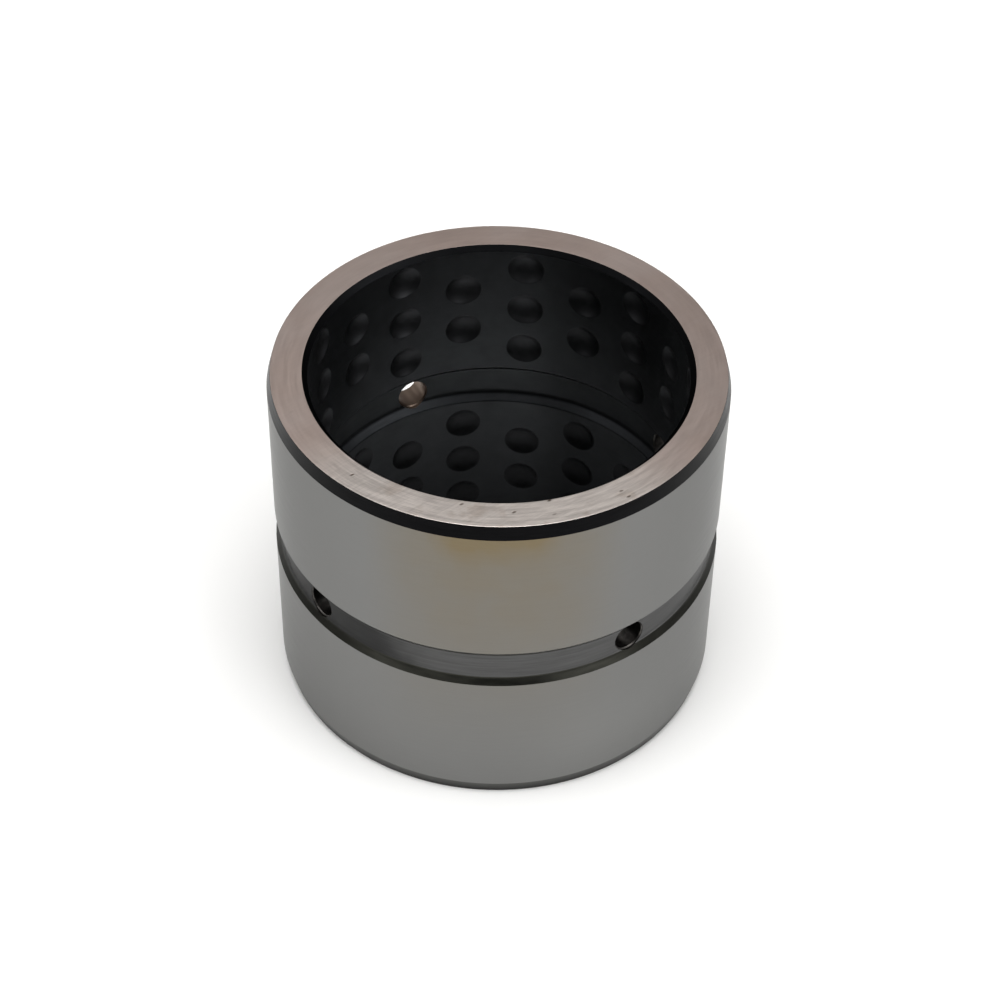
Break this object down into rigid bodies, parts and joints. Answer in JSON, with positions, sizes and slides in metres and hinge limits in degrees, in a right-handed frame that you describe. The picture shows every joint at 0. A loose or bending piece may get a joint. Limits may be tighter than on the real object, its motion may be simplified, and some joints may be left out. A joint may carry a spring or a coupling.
{
  "type": "steel pin bushing",
  "caption": "Hardened steel sleeve for a pin, with grease pockets in its bore, a groove inside and out, and cross holes between them.",
  "frame": {"origin": "centre of the lower end face", "axes": "+Z along the axis of the bore, from the lower end face to the upper one; +X and +Y across it, with the cross holes at -53.6, 28, 118.5 and 219.2 degrees about +Z from +X"},
  "size_m": [0.085, 0.085, 0.07],
  "materials": {
    "hardened_steel": "ground bright on the outside and end faces, blue-black in the bore, the pockets, the grooves and on the chamfers"
  },
  "bodies": {
    "root": {"bushing": "hardened_steel"}
  },
  "joints": []
}
